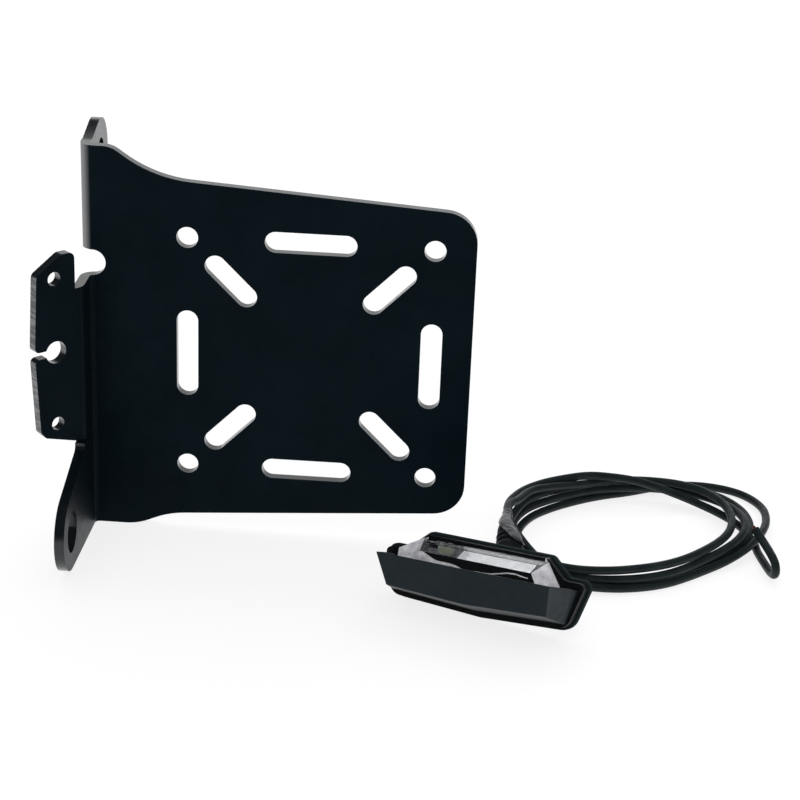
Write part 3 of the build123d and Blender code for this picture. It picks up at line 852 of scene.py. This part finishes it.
points = [Vector(point) for point in LEAD_IN]
coil_steps = (len(COIL_STOPS) - 1) * POINTS_BETWEEN
points += [coil_point(step / POINTS_BETWEEN) for step in range(coil_steps + 1)]
coil = range(len(LEAD_IN), len(points))
points += [Vector(point) for point in TAIL]
for settle_round in range(SETTLE_ROUNDS):
    samples = line_samples(line_controls(points))
    lookup = KDTree(len(samples))
    for number, (count, here) in enumerate(samples):
        lookup.insert(here, number)
    lookup.balance()
    pushes = [[] for point in points]
    for number, (count, here) in enumerate(samples):
        for there, other, distance in lookup.find_range(here, CLEARANCE):
            if abs(other - number) > SAME_STRETCH:
                pushes[count].append((here - there).normalized() * (CLEARANCE - distance) / 2)
    for count in coil:
        if pushes[count]:
            points[count] += sum(pushes[count], Vector((0, 0, 0))) / len(pushes[count])
            points[count].z = max(points[count].z, LEAD / 2)
route = line_controls(points)
curve = bpy.data.curves.new("lead", "CURVE")
curve.dimensions = "3D"
spline = curve.splines.new("NURBS")
spline.points.add(len(route) - 1)
for point, here in zip(spline.points, route):
    point.co = (*on_floor(here), 1)
spline.order_u = 3
spline.use_endpoint_u = True
spline.resolution_u = LINE_STEPS
curve.bevel_depth = LEAD / 2000
curve.bevel_resolution = ROUND_STEPS
curve.use_fill_caps = True
lead = bpy.data.objects.new("lead", curve)
bpy.context.scene.collection.objects.link(lead)
tree, shader, place = new_material("satin_jacket", lead)
fill(
    tree,
    shader,
    Base_Color=ramp(tree, noise(tree, place, size=0.006, detail=4.0), *JACKET),
    Roughness=ramp(tree, noise(tree, place, size=0.002, detail=3.0), low=0.4, high=0.55),
    Specular_IOR_Level=0.27,
    Normal=bump(tree, noise(tree, place, size=0.0005, detail=3.0), depth=0.00004),
)
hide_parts("lead_in", "lead_coil", "lead_tail")
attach(lead, "root")

# Bare end of the lead: a copper strand with six more around it, drawn fine, cut by hand to uneven lengths and
# twisted together, which stand out of the cut jacket.
STRAND_RADIUS = 0.00019
STRAND_RING = 0.0004
STRAND_SIDES = 8
STRAND_CUTS = 3
RING_STRANDS = 6
BARE = 0.00118
UNEVEN = 0.2
UNEVEN_STEP = 2.4
TWIST = 70
COPPER = ((0.5, 0.17, 0.09), (0.8, 0.38, 0.24))
rows = [(0, 0, 0, STRAND_RADIUS, STRAND_RADIUS), (0, 0, BARE, STRAND_RADIUS, STRAND_RADIUS)]
strands = [drawn("strand", rows, STRAND_SIDES)]
for count in range(RING_STRANDS):
    bearing = 2 * pi * count / RING_STRANDS
    length = 1 - UNEVEN + UNEVEN * sin(UNEVEN_STEP * count)
    strand = twin(strands[0])
    in_ring = Matrix.Translation((STRAND_RING * cos(bearing), STRAND_RING * sin(bearing), 0))
    seat(strand, in_ring @ Matrix.Diagonal((1, 1, length, 1)))
    strands.append(strand)
core = joined("copper_strands", strands)
bpy.ops.object.mode_set(mode="EDIT")
bpy.ops.mesh.select_all(action="SELECT")
bpy.ops.mesh.subdivide(number_cuts=STRAND_CUTS)
bpy.ops.object.mode_set(mode="OBJECT")
worked(core, "SIMPLE_DEFORM", deform_method="TWIST", deform_axis="Z", angle=radians(TWIST))
bpy.ops.object.shade_smooth_by_angle(angle=radians(SMOOTH_TO))
along = Vector(TAIL[-1]) - Vector(TAIL[-2])
seat(core, Matrix.Translation(on_floor(TAIL[-1])) @ along.to_track_quat("Z", "Y").to_matrix().to_4x4())
tree, shader, place = new_material("bare_copper", core)
fill(
    tree,
    shader,
    Base_Color=ramp(tree, noise(tree, place, size=0.0006, detail=3.0), *COPPER),
    Roughness=ramp(tree, noise(tree, place, size=0.0005), low=0.3, high=0.5),
    Metallic=1.0,
)
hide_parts("lead_core")
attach(core, "root")

# Camera, table and studio light: the photograph's camera, a white table, a large soft box above and behind,
# and a white room. Gloss sees the room bright at the back and dark over and behind the camera.
CAMERA_PLACE = (0.055356, -0.581583, 0.236585)
CAMERA_TURN = (66.90116, -2.18478, 3.55859)
CAMERA_LENS = 92.04
CAMERA_SENSOR = 36.0
TABLE_SIZE = 8.0
TABLE_GREY = (0.23, 0.23, 0.24, 1.0)
TABLE_GLOW = 0.8
BOX_PLACE = Vector((0.05, 0.8, 1.1))
BOX_TARGET = Vector((0.04, 0.0, -0.03))
BOX_WIDTH = 1.4
BOX_DEPTH = 0.9
BOX_POWER = 7.0
WHITE = (1.0, 1.0, 1.0, 1.0)
ROOM_LIGHT = 0.8
DARK_SIDE = 0.06
DARK_FROM = 0.93
DARK_TO = 0.78
camera = bpy.data.objects.new("camera", bpy.data.cameras.new("camera"))
bpy.context.scene.collection.objects.link(camera)
camera.data.sensor_width = CAMERA_SENSOR
camera.data.lens = CAMERA_LENS
camera.location = CAMERA_PLACE
camera.rotation_euler = Euler([radians(turn) for turn in CAMERA_TURN])
bpy.context.scene.camera = camera
bpy.ops.object.select_all(action="DESELECT")
bpy.ops.mesh.primitive_plane_add(size=TABLE_SIZE)
table = bpy.context.active_object
table.name = "table"
table.data.transform(Matrix.Translation((0, 0, FLOOR)))
tree, shader, place = new_material("white_table", table)
path = add(tree, "LightPath").outputs
seen = calc(tree, "MAXIMUM", path["Is Camera Ray"], path["Is Glossy Ray"])
seen = calc(tree, "MAXIMUM", seen, path["Is Transmission Ray"])
fill(
    tree,
    shader,
    Base_Color=TABLE_GREY,
    Roughness=0.9,
    Specular_IOR_Level=0.0,
    Emission_Color=WHITE,
    Emission_Strength=calc(tree, "MULTIPLY", seen, TABLE_GLOW),
)
soft_box = bpy.data.objects.new("back_box", bpy.data.lights.new("back_box", "AREA"))
bpy.context.scene.collection.objects.link(soft_box)
soft_box.data.shape = "RECTANGLE"
soft_box.data.size = BOX_WIDTH
soft_box.data.size_y = BOX_DEPTH
soft_box.data.energy = BOX_POWER
soft_box.visible_glossy = False
soft_box.location = BOX_PLACE
soft_box.rotation_euler = (BOX_TARGET - BOX_PLACE).to_track_quat("-Z", "Y").to_euler()
world = bpy.data.worlds.new("white_room")
bpy.context.scene.world = world
world.use_nodes = True
tree = world.node_tree
back = axis_value(tree, add(tree, "TexCoord").outputs["Generated"], "Y")
gloss = ramp(tree, back, DARK_SIDE, 1.0, start=DARK_TO, end=DARK_FROM)
path = add(tree, "LightPath").outputs
clear = calc(tree, "MAXIMUM", path["Is Camera Ray"], path["Is Transmission Ray"])
lit = add(tree, "Mix", _0=path["Is Glossy Ray"], _2=ROOM_LIGHT, _3=gloss).outputs[0]
fill(tree, tree.nodes["Background"], Color=WHITE, Strength=calc(tree, "MAXIMUM", lit, clear))
bpy.context.scene.view_settings.view_transform = "Standard"
